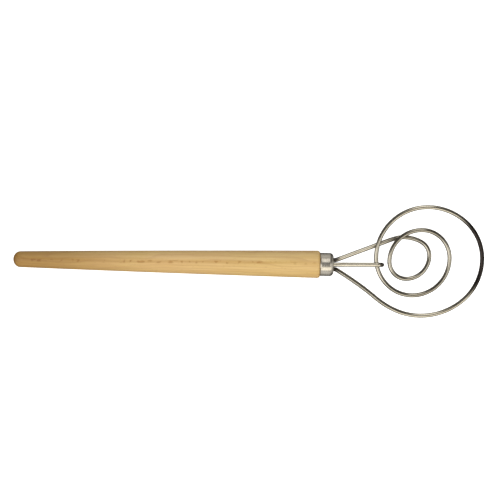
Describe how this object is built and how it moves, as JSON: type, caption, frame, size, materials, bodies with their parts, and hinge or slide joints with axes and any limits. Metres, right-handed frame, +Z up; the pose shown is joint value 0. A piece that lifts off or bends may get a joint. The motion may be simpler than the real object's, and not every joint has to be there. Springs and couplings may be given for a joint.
{
  "type": "dough whisk",
  "caption": "Long-handled dough whisk: tapered turned wooden handle, short metal ferrule, and a flat head of nested wire loops with a hooked middle stay.",
  "frame": {"origin": "middle of the footprint's bounding box, on the surface that the whisk lies on", "axes": "+X along the handle's axis from the butt to the wire head, +Z up and square to the flat head, +Y to the left of +X, on the side of the return leg"},
  "size_m": [0.3802, 0.0912, 0.0222],
  "materials": {
    "beech": "sanded, thin satin oil",
    "ferrule_metal": "satin, brushed round the axis",
    "wire_metal": "bright drawn, polished",
    "resin": "cast, semi-gloss"
  },
  "bodies": {
    "root": {"handle": "beech", "ferrule": "ferrule_metal", "loop_wire": "wire_metal", "hook_wire": "wire_metal", "resin_plug": "resin"}
  },
  "joints": []
}
